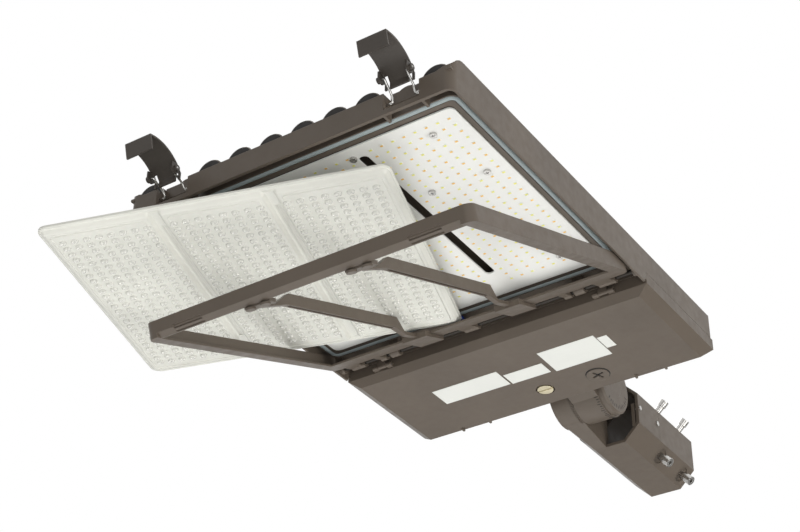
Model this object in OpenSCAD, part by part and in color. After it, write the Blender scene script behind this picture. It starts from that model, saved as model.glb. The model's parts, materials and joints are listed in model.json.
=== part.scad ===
// Shoebox area light, opened for service: LED side down, slip fitter at the rear.
// X runs left to right, Y front to rear, Z up. The origin is the mouth of the tenon socket.

/* [Housing] */
// Width of the housing
housing_w = 330; // [329:0.5:333]
// Length of the housing with its rear compartment
housing_l = 470; // [468:1:476]
// Height of the side walls
side_h = 36.2; // [35:0.1:40]
// Height of the front wall
front_h = 21.8; // [21.6:0.1:24]
// Wall thickness of the casting
wall_t = 2; // [1.8:0.1:2.2]
// Thickness of the top skin and the ridges
skin_t = 2.3; // [2:0.1:2.4]
// Number of half-round ridges on the top
ridge_count = 10; // [10:1:10]
// Spacing of the ridges
ridge_pitch = 32.6; // [32.2:0.1:32.8]
// Outer radius of a ridge
ridge_r = 14; // [13:0.5:14.5]
// Height of the LED board's face above the rim
board_face_z = 6.8; // [6.6:0.1:7.2]
// Thickness of the LED board
board_t = 1.6; // [1.2:0.1:2]

/* [Rear compartment] */
// Distance from the front wall to the cover of the compartment
cover_y0 = 330; // [329.5:0.5:332]
// Height of the parting line between cover and housing
parting_z = 11.5; // [11:0.1:12.5]
// Depth of the cover below the rim
cover_drop = 7.4; // [6.5:0.1:8]
// Width of the bevel along the sides of the cover
cover_bevel = 11.4; // [9:0.1:12]
// Wall thickness of the cover
cover_t = 2; // [1.8:0.1:2.4]

/* [Door] */
// Angle by which the door hangs open
door_open = 20.95; // [20.6:0.05:21.1]
// Outer width of the door frame
door_w = 323; // [322:0.5:323.5]
// Distance from the front wall to the closed door frame
door_y0 = 13.5; // [13.3:0.1:13.8]
// Height of the door frame's walls
door_h = 15; // [14:0.1:15.4]
// Thickness of the door frame
door_t = 2; // [1.7:0.1:2.1]
// Distance from the front wall to the door hinge
hinge_y = 317; // [316.5:0.5:317.5]
// Height of the door hinge above the rim
hinge_z = 7.5; // [7.4:0.1:8]
// Distance of each crossbar from the middle
crossbar_x = 50.3; // [49.8:0.1:50.8]

/* [Lens] */
// Width of the lens
lens_w = 308; // [304:1:309]
// Length of the lens
lens_l = 274; // [270:1:274]
// Thickness of the lens
lens_t = 1.8; // [1.6:0.1:2]
// Depth of the bulged panels
panel_drop = 3.5; // [2.5:0.1:3.6]

/* [Latches] */
// Distance of each latch from the middle
latch_x = 117.5; // [116.5:0.5:118.5]
// Width of a latch lever
lever_w = 28; // [26:0.5:29]
// Length of the wire bail between its pivots
bail_l = 20.5; // [20:0.5:22]
// Diameter of the bail wire
bail_d = 2.2; // [1.8:0.1:2.4]
// Angle of the left bail above the horizontal
bail_left_angle = 29; // [25:1:33]
// Angle of the right bail above the horizontal
bail_right_angle = 50; // [45:1:55]

/* [Slip fitter] */
// Distance from the front wall to the end of the slip fitter
fitter_end_y = 698; // [696:1:710]
// Height of the slip fitter's axis above the rim
fitter_z = 23; // [22:0.5:24]
// Width of the slip fitter across its flats
fitter_w = 70; // [69.5:0.5:72]
// Width of one flat of the slip fitter
fitter_flat = 35; // [33:0.5:36]
// Diameter of the tenon socket
tenon_d = 61.8; // [61:0.1:62]
// Depth of the tenon socket
tenon_depth = 80; // [78:1:82]
// Distance from the front wall to the tilt pivot
tilt_y = 522; // [521:0.5:524]
// Height of the tilt pivot above the rim
tilt_z = 29; // [28:0.5:29.5]
// Radius of the tilt barrel
barrel_r = 32.8; // [31.5:0.1:33]

/* [Hidden] */
$fn = 48;
over = 1;
gap = 0.3;
fit_gap = 0.08;
bronze = [0.36, 0.32, 0.28];
dark_bronze = [0.27, 0.24, 0.21];
silver = [0.75, 0.75, 0.74];
black = [0.08, 0.08, 0.08];
white = [0.93, 0.93, 0.9];
clear = [0.86, 0.87, 0.83];

// Tray of the housing
half_w = housing_w / 2;
inner_x = half_w - wall_t;
front_t = 3;
corner_r = 8;
corner_in_r = 5;
corner_fall_l = 16;
corner_fall = 12.2;
// Shares of the corner's length and fall along the curve of its top
corner_curve = [[1, 0], [0.75, 0.1], [0.46, 0.38], [0.19, 0.77], [0, 1]];
ramp_l = 7;
ramp_x = half_w - corner_r - ramp_l;
skin_z0 = front_h - skin_t;
side_channel_w = 4.6;
front_channel_w = 1.1;
land_x = inner_x - side_channel_w;
land_y0 = door_y0 + door_t + front_channel_w;
land_to_hinge = 19;
land_y1 = hinge_y - land_to_hinge;
land_w = 11;
land_t = 3.6;
upstand_t = 2.5;
board_back_z = board_face_z + board_t;

// Ridges and the webs that carry the board
ridge_z = skin_z0 + skin_t / 4;
ridge_y0 = 5;
ridge_hollow_r = ridge_r - skin_t;
end_hollow_r = ridge_r - 1.5 * skin_t;
ridge_front_t = 16;
web_t = 2;
web_end_gap = 3;
ridge_bevel = 0.8;

// Rear compartment
roof_t = 2.3;
rear_wall_t = 2.5;
rear_y = housing_l - 4;
bulkhead_t = 2.5;
cover_front_bevel = 6.7;
cover_rear_bevel = 6;
notch_w = 30;
notch_x = 99.5;
notch_l = 11;
notch_depth = 3;

// Gasket in its groove
gasket_w = 5.2;
gasket_z0 = 7.5;
gasket_groove = 1.6;
gasket_inset = 1.1;
gasket_r = 9;

// LED board, its slots and screws
board_x = 147;
board_y0 = 28.5;
board_y1 = 285;
board_r = 6;
slot_w = 9;
slot_y0 = 43;
slot_y1 = 249.4;
screw_places = [[115.9, 49.8], [43.1, 41.4], [72.6, 115.6], [126.8, 116], [116, 257.5]];
screw_shank_r = 1.5;
screw_head_r = 3.2;
screw_head_h = 2;
screw_l = 9;
boss_r = 4;

// Closed door frame
door_z0 = 3.5;
door_half = door_w / 2;
door_inner = door_half - door_t;
door_corner_r = 8;
door_window_x = 151;
rail_y0 = hinge_y - 38;
rail_y1 = hinge_y - 16;
rail_wall_t = 2;
rail_wall_z1 = hinge_z + 0.5;
front_rail_l = 300;
chamfer_z = 4;
chamfer_y = 5.8;
front_flange_w = 7;
ledge_w = 30;
ledge_bar_r = 1.2;
catch_d = 1.3;
knuckle_r = 5.2;
rod_r = 2.4;
web_z1 = 6.3;
// Left ends and widths of the door's knuckles, and of the housing's lugs between them
door_knuckles = [[-150, 15], [-116, 7], [-20, 15], [88, 7], [124, 17]];
housing_lugs = [[-104, 10], [99, 10]];
side_lug_t = 4;

// Crossbars with a foot at the front rail and a cup at the hinge rail
bar_w = 5.4;
bar_wall = 1.4;
bar_z0 = door_z0 + 3.5;
bar_z1 = door_z0 + 14;
bar_low_z0 = door_z0 - 1.7;
bar_low_z1 = door_z0 + 1.7;
bar_y0 = door_y0 + front_flange_w + gap;
bar_full_y0 = slot_y0 + 23;
bar_full_y1 = slot_y1 - 9.4;
bar_bend_y0 = bar_full_y1 - 6;
bar_bend_y1 = bar_full_y1 + 12;
foot_w = 26;
foot_l = 9;
pad_r = 4.5;
pad_t = 1.7;
cup_w = 26;
cup_t = 2;

// Lens: where it lies taken out of the door, and its form
lens_at = [-108.2, 114.8, -15.9];
lens_turn = [3.5, -2.1, 19];
lens_r = 10;
panel_y = 256;
panel_margin = 6;
panel_gap = 13;
channel_wall = 1;
channel_gap = 0.4;

// Latches
latch_y = 5;
latch_z = 13;
pocket_w = 34;
pocket_depth = 13;
pocket_floor_z = 5;
pocket_wall_t = 2.2;
pocket_back_z = 31;
bail_arm_x = 10.6;
arm_slot_w = 3;
arm_slot_y = 2.4;
arm_slot_z = 6;
lever_arc_at = [-24, -21];
lever_arc_r = 37.6;
lever_t = 1.6;
lever_arc_from = 33;
lever_arc_to = 106.5;
lever_nose_l = 6.3;
lever_flange_l = 14;
lever_flange_lean = 16;
ear_r = 4.6;
ear_t = 1.5;
lug_r = 2.9;
lug_l = 2.6;
left_lever_turn = 0;
right_lever_turn = 0;

// Cover hinge
cover_pin_y = cover_y0 - 2.6;
cover_pin_z = 3;
cover_pin_r = 1.2;
cover_ear_r = 2.2;
cover_lug_w = 9;
cover_ear_w = 6;
cover_hinge_x = 122;

// Fittings of the cover
stud_at = [-1.9, 437.6];
stud_head_r = 8;
stud_head_h = 2.6;
stud_r = 3;
stud_z1 = 14;
stud_play = 0.7;
counterbore_r = 9.5;
counterbore_depth = 2.4;
counterbore_floor = 2;
stud_z0 = counterbore_depth - gap - cover_drop;
socket_r = 7;
slot_cut_w = 1.6;
slot_cut_d = 1;
plug_at = [56, 439];
plug_head_r = 11.2;
plug_head_h = 1.2;
plug_r = 8.5;
plug_l = 10;
plug_turn = 70;
cross_w = 2.6;
cross_l = 14;
label_t = 0.25;
// Left edge, front edge, width and length of each blank label
labels = [[-98.8, 381, 73.8, 28], [-22.7, 391, 42.7, 19], [25.3, 373, 60.7, 39], [87, 379, 10, 21]];

// Parts inside the compartment
driver_size = [190, 56, 28];
driver_at = [-110, 342];
driver_tab = 12;
driver_tab_t = 1.5;
driver_screw_r = 2;
driver_head_r = 3.6;
driver_head_h = 2.4;
surge_size = [52, 34, 24];
surge_at = [96, 345];
block_size = [44, 16, 15];
block_at = [92, 410];
block_hole_r = 2;
lead_r = 1.3;
lead_x = -24;
lead_spacing = 4.2;
lead_z = 16.8;
grommet_r = 5;
grommet_flange = 1;

// Slip fitter and tilt joint
fit_half = fitter_w / 2;
flat_half = fitter_flat / 2;
trough_l = 128.5;
hood_l = 150;
hood_t = 6;
trough_t = 3.2;
split_z = -flat_half;
arm_x0 = -28;
arm_x1 = -4.8;
arm_r = barrel_r;
arm_overlap = 6;
arm_top = 26;
barrel_x0 = arm_x1 + gap;
barrel_x1 = 32.5;
barrel_step_x = 25;
barrel_step = 1.4;
barrel_round = 2;
neck_x1 = 25;
neck_z0 = 14;
neck_z1 = 35;
flange_t = 5;
flange_x0 = -14;
flange_x1 = 42;
knuckle_bolt_r = 3;
knuckle_bolt_head_r = 5;
knuckle_bolt_head_h = 4;
knuckle_bolt_in = 6;
pivot_r = 6;
pivot_head_r = 9.5;
pivot_head_h = 7;
pivot_recess_r = 14;
pivot_recess_d = 11;
pivot_cap_t = 2;
nut_r = 10.5;
nut_h = 8;
bolt_y = [-15, -65];
set_bolt_r = 4;
set_bolt_head_r = 5;
set_bolt_head_at = 45.5;
set_bolt_head_h = 7;
set_bolt_hex_r = 2.3;
set_bolt_hex_d = 4;
bolt_pad_r = 8.5;
bolt_pad_d = 1.2;
cover_screw_y = [-85, -125];
cover_screw_r = 1.5;
cover_screw_head_r = 2.6;
cover_screw_head_h = 1.2;
lug_w = 7;
cover_lug_t = 5;
lug_gap = 1.4;

// Moves the light's own frame, at the middle of the front rim, to the mouth of the socket
module in_row() translate([0, -fitter_end_y, -fitter_z]) children();

// A box given by its lowest and highest corners
module span(a, b) translate(a) cube(b - a);

// The same box on the left and on the right
module both_sides() {
  children();
  mirror([1, 0, 0]) children();
}

// A flat rectangle with round corners, centred across and given from front to rear
module round_rect(w, y0, y1, r) {
  translate([-w / 2 + r, y0]) square([w - 2 * r, y1 - y0]);
  translate([-w / 2, y0 + r]) square([w, y1 - y0 - 2 * r]);
  for (x = [-w / 2 + r, w / 2 - r], y = [y0 + r, y1 - r]) translate([x, y]) circle(r);
}

// A cylinder along X between two places
module rod_x(x0, x1, y, z, r) translate([x0, y, z]) rotate([0, 90, 0]) cylinder(h = x1 - x0, r = r);

// A cylinder along Y between two places
module rod_y(x, y0, y1, z, r) translate([x, y1, z]) rotate([90, 0, 0]) cylinder(h = y1 - y0, r = r);

// An outline in Y and Z, extruded along X between two places
module slab_x(x0, x1) translate([x0, 0, 0]) rotate([90, 0, 90]) linear_extrude(x1 - x0) children();

// An outline in X and Z, extruded along Y between two places
module slab_y(y0, y1) translate([0, y1, 0]) rotate([90, 0, 0]) linear_extrude(y1 - y0) children();

function ridge_x(i) = (i - (ridge_count - 1) / 2) * ridge_pitch;
function is_end(i) = i == 0 || i == ridge_count - 1;
function is_pocket(i) = i == 1 || i == ridge_count - 2;
function ridge_start(i) = is_pocket(i) ? pocket_depth + over : ridge_y0;

// One half-round ridge, whose front edge is bevelled
module ridge(i) {
  front = ridge_start(i);
  translate([ridge_x(i), 0, 0]) intersection() {
    union() {
      rod_y(0, front + ridge_bevel, cover_y0 + over, ridge_z, ridge_r);
      translate([0, front + ridge_bevel, ridge_z]) rotate([90, 0, 0])
        cylinder(h = ridge_bevel, r1 = ridge_r, r2 = ridge_r - ridge_bevel);
    }
    span([-ridge_r, 0, skin_z0 + skin_t / 2], [ridge_r, housing_l, ridge_z + ridge_r]);
  }
}

module ridge_hollow(i) {
  r = is_end(i) ? end_hollow_r : ridge_hollow_r;
  y0 = ridge_start(i) + ridge_front_t;
  translate([ridge_x(i), 0, 0]) {
    rod_y(0, y0, land_y1 - upstand_t - over, ridge_z, r);
    span([-r, y0, skin_z0 - over], [r, land_y1 - upstand_t - over, ridge_z]);
  }
}

// The webs below each ridge, which the board is screwed against
module board_webs() {
  for (i = [0 : ridge_count - 1], s = [-1, 1]) {
    x = ridge_x(i) + s * (ridge_r - web_t);
    if (abs(x) < board_x - board_r)
      span([x - web_t / 2, board_y0 + web_end_gap, board_back_z],
        [x + web_t / 2, board_y1 - web_end_gap, skin_z0 + over]);
  }
}

module at_screws() for (p = screw_places, s = [-1, 1]) translate([s * p[0], p[1], 0]) children();

// Bosses of the board's screws, up to the skin or to the roof of the ridge above them
module screw_bosses() intersection() {
  at_screws() translate([0, 0, board_back_z]) cylinder(h = ridge_z + ridge_r - board_back_z, r = boss_r);
  union() {
    span([-inner_x, 0, board_back_z], [inner_x, cover_y0, front_h]);
    for (i = [0 : ridge_count - 1]) ridge(i);
  }
}

// Outline from y0 to y1, half_x to each side, with its two front corners rounded
module round_front(half_x, y0, y1, r) {
  for (s = [-1, 1]) translate([s * (half_x - r), y0 + r]) circle(r);
  translate([-half_x, y0 + r]) square([2 * half_x, y1 - y0 - r]);
  translate([-half_x + r, y0]) square([2 * (half_x - r), r + over]);
}

// Front and side walls, with rounded corners where the top comes down to the front wall
module tray_wall() intersection() {
  linear_extrude(side_h) difference() {
    round_front(half_w, 0, cover_y0, corner_r);
    round_front(inner_x, front_t, cover_y0 + over, corner_in_r);
  }
  slab_x(-half_w - over, half_w + over) polygon(concat([[-over, 0], [cover_y0 + over, 0],
    [cover_y0 + over, side_h + over], [corner_fall_l, side_h + over]],
    [for (c = corner_curve) [corner_fall_l * c[0], side_h - corner_fall * c[1]]],
    [[-over, side_h - corner_fall]]));
  union() {
    slab_y(-over, cover_y0 + over) polygon([[-ramp_x - ramp_l, 0], [-ramp_x - ramp_l, side_h - corner_fall],
      [-ramp_x, front_h], [ramp_x, front_h], [ramp_x + ramp_l, side_h - corner_fall], [ramp_x + ramp_l, 0]]);
    both_sides() span([ramp_x + ramp_l - over / 2, -over, 0], [half_w + over, cover_y0 + over, side_h + over]);
  }
}

module latch_pocket_walls() {
  for (s = [-1, 1]) {
    x = s * (pocket_w / 2 + pocket_wall_t / 2);
    span([latch_x + x - pocket_wall_t / 2, over, over],
      [latch_x + x + pocket_wall_t / 2, pocket_depth - gap, front_h]);
  }
  span([latch_x - pocket_w / 2 - pocket_wall_t, pocket_depth + over, skin_z0],
    [latch_x + pocket_w / 2 + pocket_wall_t, pocket_depth + over + pocket_wall_t, pocket_back_z]);
}

module latch_pocket_cut() {
  span([latch_x - pocket_w / 2, -over, pocket_floor_z],
    [latch_x + pocket_w / 2, pocket_depth + over, side_h + over]);
  rod_x(latch_x - pocket_w / 2 - pocket_wall_t - over, latch_x + pocket_w / 2 + pocket_wall_t + over,
    latch_y, latch_z, bail_d / 2 + fit_gap);
}

// The rim that carries the gasket, with the upstand that closes the lamp chamber
module gasket_land() {
  difference() {
    translate([0, 0, board_back_z]) linear_extrude(skin_z0 + over - board_back_z)
      round_rect(2 * land_x, land_y0, land_y1, gasket_r);
    translate([0, 0, board_back_z - over]) linear_extrude(land_t + 2 * over)
      round_rect(2 * (land_x - land_w), land_y0 + land_w, land_y1 - land_w, board_r);
    translate([0, 0, board_back_z + land_t]) linear_extrude(skin_z0)
      round_rect(2 * (land_x - upstand_t), land_y0 + upstand_t, land_y1 - upstand_t, board_r);
    gasket_ring(board_back_z - over, board_back_z + gasket_groove);
  }
}

module gasket_ring(z0, z1) {
  x = land_x - gasket_inset;
  y0 = land_y0 + gasket_inset;
  y1 = land_y1 - gasket_inset;
  translate([0, 0, z0]) linear_extrude(z1 - z0) difference() {
    round_rect(2 * x, y0, y1, gasket_r);
    round_rect(2 * (x - gasket_w), y0 + gasket_w, y1 - gasket_w, gasket_r - gasket_w);
  }
}

// Lugs that hold the door's hinge rod and the cover's hinge pins
module hinge_lugs() {
  for (l = housing_lugs) {
    span([l[0], hinge_y - knuckle_r, hinge_z], [l[0] + l[1], hinge_y + knuckle_r, skin_z0 + over]);
    rod_x(l[0], l[0] + l[1], hinge_y, hinge_z, knuckle_r);
  }
  both_sides() {
    rod_x(inner_x - side_lug_t, inner_x + over, hinge_y, hinge_z, knuckle_r);
    span([cover_hinge_x - cover_lug_w / 2, cover_pin_y - cover_ear_r, cover_pin_z],
      [cover_hinge_x + cover_lug_w / 2, cover_pin_y + cover_ear_r, skin_z0 + over]);
    rod_x(cover_hinge_x - cover_lug_w / 2, cover_hinge_x + cover_lug_w / 2, cover_pin_y, cover_pin_z,
      cover_ear_r);
  }
}

module housing() color(bronze) in_row() difference() {
  union() {
    both_sides() {
      span([inner_x, cover_y0 - over, parting_z], [half_w, rear_y, side_h]);
      latch_pocket_walls();
    }
    tray_wall();
    difference() {
      span([-inner_x - over, 0, skin_z0], [inner_x + over, cover_y0 + over, front_h]);
      for (i = [0 : ridge_count - 1]) ridge_hollow(i);
    }
    difference() {
      for (i = [0 : ridge_count - 1]) ridge(i);
      for (i = [0 : ridge_count - 1]) ridge_hollow(i);
    }
    board_webs();
    screw_bosses();
    gasket_land();
    hinge_lugs();
    // Bulkhead, roof and rear wall of the compartment
    span([-inner_x - over, cover_y0, parting_z], [inner_x + over, cover_y0 + bulkhead_t, side_h]);
    span([-inner_x - over, cover_y0, side_h - roof_t], [inner_x + over, rear_y, side_h]);
    span([-inner_x - over, rear_y - rear_wall_t, parting_z], [inner_x + over, rear_y, side_h]);
    translate([stud_at[0], stud_at[1], parting_z])
      cylinder(h = side_h - roof_t + over - parting_z, r = socket_r);
  }
  both_sides() {
    latch_pocket_cut();
    // Room for the cover's front corners, which turn about their pins
    span([inner_x - over, cover_pin_y - gap, -over], [half_w + over, cover_y0 + over, cover_pin_z + gap]);
  }
  at_screws() translate([0, 0, board_back_z - over]) cylinder(h = screw_l, r = screw_shank_r);
  rod_x(-inner_x - over / 2, inner_x + over / 2, hinge_y, hinge_z, rod_r);
  both_sides() rod_x(cover_hinge_x - cover_lug_w, cover_hinge_x + cover_lug_w, cover_pin_y, cover_pin_z,
    cover_pin_r);
  translate([stud_at[0], stud_at[1], parting_z - over])
    cylinder(h = side_h - roof_t - parting_z, r = stud_r + stud_play);
  at_knuckle_bolts() translate([0, over, 0]) rotate([90, 0, 0])
    cylinder(h = rear_wall_t + 2 * over, r = knuckle_bolt_r);
  // Holes for the board's leads through the upstand and the bulkhead
  x = lead_x + lead_spacing / 2;
  r = grommet_r - grommet_flange;
  rod_y(x, land_y1 - upstand_t - over, land_y1 + over, lead_z, r);
  rod_y(x, cover_y0 - over, cover_y0 + bulkhead_t + over, lead_z, r);
}

module led_board() color(white) in_row() difference() {
  translate([0, 0, board_face_z]) linear_extrude(board_t) difference() {
    round_rect(2 * board_x, board_y0, board_y1, board_r);
    for (s = [-1, 1]) translate([s * crossbar_x, 0])
      round_rect(slot_w, slot_y0, slot_y1, slot_w / 2 - gap);
  }
  at_screws() translate([0, 0, board_face_z - over]) cylinder(h = board_t + 2 * over, r = screw_shank_r);
}

module board_screws() color(silver) in_row() at_screws() {
  translate([0, 0, board_face_z]) cylinder(h = screw_l - screw_head_h, r = screw_shank_r);
  difference() {
    translate([0, 0, board_face_z - screw_head_h]) cylinder(h = screw_head_h, r = screw_head_r);
    translate([0, 0, board_face_z - screw_head_h])
      cross_cut(screw_head_r, screw_head_r / 4, screw_head_h / 2);
  }
}

// A cross recess, cut upwards from its place
module cross_cut(l, w, d) {
  for (a = [0, 90]) rotate(a) span([-l / 2, -w / 2, -d], [l / 2, w / 2, d]);
}

module gasket() color([0.75, 0.78, 0.78]) in_row()
  gasket_ring(gasket_z0, board_back_z + gasket_groove);

roof_z = side_h - roof_t;
driver_z0 = roof_z - driver_size[2];

module at_driver_screws() for (x = [-driver_tab / 2, driver_size[0] + driver_tab / 2])
  translate([driver_at[0] + x, driver_at[1] + driver_size[1] / 2, roof_z]) children();

module driver() color(silver) in_row() difference() {
  translate([driver_at[0], driver_at[1], 0]) {
    span([0, 0, driver_z0], [driver_size[0], driver_size[1], roof_z]);
    span([-driver_tab, driver_size[1] / 4, roof_z - driver_tab_t],
      [driver_size[0] + driver_tab, driver_size[1] * 3 / 4, roof_z]);
  }
  at_driver_screws() translate([0, 0, -2 * driver_tab_t]) cylinder(h = 3 * driver_tab_t, r = driver_screw_r);
}

module driver_screws() color(silver) in_row() at_driver_screws() {
  translate([0, 0, -driver_tab_t]) cylinder(h = driver_tab_t, r = driver_screw_r);
  translate([0, 0, -driver_tab_t - driver_head_h]) cylinder(h = driver_head_h, r = driver_head_r);
}

module surge_protector() color([0.3, 0.32, 0.36]) in_row() translate([surge_at[0], surge_at[1], 0]) {
  span([0, 0, roof_z - surge_size[2]], [surge_size[0], surge_size[1], roof_z]);
}

module terminal_block() color([0.85, 0.84, 0.78]) in_row() translate([block_at[0], block_at[1], 0])
  difference() {
    span([0, 0, roof_z - block_size[2]], [block_size[0], block_size[1], roof_z]);
    for (i = [0 : 3])
      translate([(i + 0.5) * block_size[0] / 4, block_size[1] / 2, roof_z - block_size[2] - over])
        cylinder(h = block_size[2] / 2, r = block_hole_r);
  }

// Rubber grommet in the bulkhead, with one hole for each lead
module lead_grommet() color(black) in_row() difference() {
  union() {
    rod_y(lead_x + lead_spacing / 2, cover_y0, cover_y0 + bulkhead_t, lead_z, grommet_r - grommet_flange);
    rod_y(lead_x + lead_spacing / 2, cover_y0 + bulkhead_t, cover_y0 + bulkhead_t + grommet_flange, lead_z,
      grommet_r);
  }
  for (i = [0, 1]) rod_y(lead_x + i * lead_spacing, cover_y0 - over, driver_at[1], lead_z, lead_r);
}

// Two leads from the driver through the bulkhead to the back of the LED board
module board_leads() color([0.15, 0.25, 0.6]) in_row() for (i = [0, 1]) {
  x = lead_x + i * lead_spacing;
  y0 = board_y1 - land_w;
  rod_y(x, y0, driver_at[1], lead_z, lead_r);
  translate([x, y0, lead_z]) sphere(lead_r);
  translate([x, y0, board_back_z]) cylinder(h = lead_z - board_back_z, r = lead_r);
}

// Three leads from the driver's far side to the terminal block
module driver_leads() color(black) in_row() for (i = [0 : 2]) {
  x = block_at[0] - (i + 3) * lead_spacing;
  y = block_at[1] + block_size[1] / 2 - (i - 1) * lead_spacing;
  z = roof_z - driver_size[2] / 2;
  rod_x(x, block_at[0], y, roof_z - block_size[2] / 2, lead_r);
  translate([x, y, z]) cylinder(h = roof_z - block_size[2] / 2 - z, r = lead_r);
  translate([x, y, z]) sphere(lead_r);
  translate([x, y, roof_z - block_size[2] / 2]) sphere(lead_r);
  rod_y(x, driver_at[1] + driver_size[1], y, z, lead_r);
}

module door_hinge_rod() color(silver) in_row() rod_x(-inner_x, inner_x, hinge_y, hinge_z, rod_r);

module cover_hinge_pins() color(silver) in_row() both_sides()
  rod_x(cover_hinge_x - cover_lug_w / 2 - cover_ear_w - gap,
    cover_hinge_x + cover_lug_w / 2 + cover_ear_w + gap, cover_pin_y, cover_pin_z, cover_pin_r);

// Cross section of the cover, and its outline from the side, both grown inwards by t
function cover_section(t) = [[-half_w + t, parting_z - gap + (t > 0 ? over : 0)], [-half_w + t, t / 2],
  [-half_w + cover_bevel + t / 2, -cover_drop + t], [half_w - cover_bevel - t / 2, -cover_drop + t],
  [half_w - t, t / 2], [half_w - t, parting_z - gap + (t > 0 ? over : 0)]];
function cover_side(t) = [[cover_y0 + gap + t, parting_z - gap + (t > 0 ? over : 0)],
  [cover_y0 + gap + t, t / 2], [cover_y0 + cover_front_bevel + t / 2, -cover_drop + t],
  [housing_l - cover_rear_bevel - t / 2, -cover_drop + t], [housing_l - t, t / 2],
  [housing_l - t, parting_z - gap + (t > 0 ? over : 0)]];

module cover_form(t) intersection() {
  slab_y(cover_y0 - over, housing_l + over) polygon(cover_section(t));
  slab_x(-housing_w, housing_w) polygon(cover_side(t));
}

module driver_cover() color(bronze) in_row() difference() {
  union() {
    difference() {
      cover_form(0);
      cover_form(cover_t);
    }
    // Ledge for the gasket, ears of the hinge, and the boss of the captive screw
    intersection() {
      cover_form(cover_t / 2);
      difference() {
        span([-half_w, cover_y0, -cover_drop], [half_w, housing_l, parting_z - gap - cover_t]);
        span([-inner_x + 2 * cover_t, cover_y0 + 3 * cover_t, -cover_drop - over],
          [inner_x - 2 * cover_t, housing_l - 3 * cover_t, parting_z]);
      }
    }
    both_sides() for (s = [-1, 1]) {
      x = cover_hinge_x + s * (cover_lug_w / 2 + gap + cover_ear_w / 2);
      span([x - cover_ear_w / 2, cover_pin_y, cover_pin_z - cover_ear_r + gap],
        [x + cover_ear_w / 2, cover_y0 + cover_t, cover_pin_z + cover_ear_r]);
      rod_x(x - cover_ear_w / 2, x + cover_ear_w / 2, cover_pin_y, cover_pin_z, cover_ear_r);
    }
    translate([stud_at[0], stud_at[1], -cover_drop + cover_t / 2])
      cylinder(h = counterbore_depth + counterbore_floor - cover_t / 2, r = counterbore_r + cover_t);
    for (s = [-1, 1]) span([s * notch_x - notch_w / 2 - cover_t, housing_l - notch_l - cover_t,
      -cover_drop + cover_t / 2], [s * notch_x + notch_w / 2 + cover_t, housing_l - cover_t / 2,
      -cover_drop + notch_depth + cover_t]);
  }
  both_sides() rod_x(cover_hinge_x - cover_lug_w - cover_ear_w, cover_hinge_x + cover_lug_w + cover_ear_w,
    cover_pin_y, cover_pin_z, cover_pin_r + fit_gap);
  translate([stud_at[0], stud_at[1], -cover_drop - over]) {
    cylinder(h = counterbore_depth + over, r = counterbore_r);
    cylinder(h = 5 * cover_t, r = stud_r + fit_gap);
  }
  translate([plug_at[0], plug_at[1], -cover_drop - over]) cylinder(h = 4 * cover_t, r = plug_r);
  for (s = [-1, 1]) span([s * notch_x - notch_w / 2, housing_l - notch_l, -cover_drop - over],
    [s * notch_x + notch_w / 2, housing_l + over, -cover_drop + notch_depth]);
}

// Soft strip on the ledge of the cover, which meets the housing's edge
module cover_gasket() color(black) in_row() difference() {
  span([-inner_x + cover_t / 2, cover_y0 + 2 * cover_t, parting_z - gap - cover_t],
    [inner_x - cover_t / 2, housing_l - 2 * cover_t, parting_z - gap]);
  span([-inner_x + 2 * cover_t, cover_y0 + 3 * cover_t, 0],
    [inner_x - 2 * cover_t, housing_l - 3 * cover_t, side_h]);
}

// Slotted quarter-turn screw, held captive in the cover
module captive_screw() color([0.72, 0.66, 0.5]) in_row() translate([stud_at[0], stud_at[1], 0]) difference() {
  union() {
    translate([0, 0, stud_z0 - stud_head_h]) cylinder(h = stud_head_h, r = stud_head_r);
    translate([0, 0, stud_z0 - over]) cylinder(h = stud_z1 - stud_z0 + over, r = stud_r);
  }
  span([-stud_head_r - over, -slot_cut_w / 2, stud_z0 - stud_head_h - over],
    [stud_head_r + over, slot_cut_w / 2, stud_z0 - stud_head_h + slot_cut_d]);
}

// Threaded plug with a cross recess, in the cover's wiring hole
module access_plug() color(black) in_row() translate([plug_at[0], plug_at[1], -cover_drop]) difference() {
  union() {
    translate([0, 0, -plug_head_h]) cylinder(h = plug_head_h, r = plug_head_r);
    cylinder(h = plug_l, r = plug_r);
  }
  translate([0, 0, -plug_head_h]) rotate(plug_turn) cross_cut(cross_l, cross_w, plug_head_h);
}

module blank_labels() color([0.9, 0.9, 0.88]) in_row() for (l = labels)
  translate([l[0], l[1], -cover_drop - label_t]) cube([l[2], l[3], label_t]);

// Turns a piece of the closed door about its hinge to where the door hangs
module in_door() in_row() translate([0, hinge_y, hinge_z]) rotate([door_open, 0, 0])
  translate([0, -hinge_y, -hinge_z]) children();

// Section of the front rail, with the bevel along its lower edge
front_rail = [[door_y0, door_z0 + chamfer_z], [door_y0 + chamfer_y, door_z0],
  [door_y0 + front_flange_w, door_z0], [door_y0 + front_flange_w, door_z0 + door_t],
  [door_y0 + chamfer_y, door_z0 + door_t], [door_y0 + door_t, door_z0 + chamfer_z + door_t],
  [door_y0 + door_t, door_z0 + door_h], [door_y0, door_z0 + door_h]];

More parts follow.
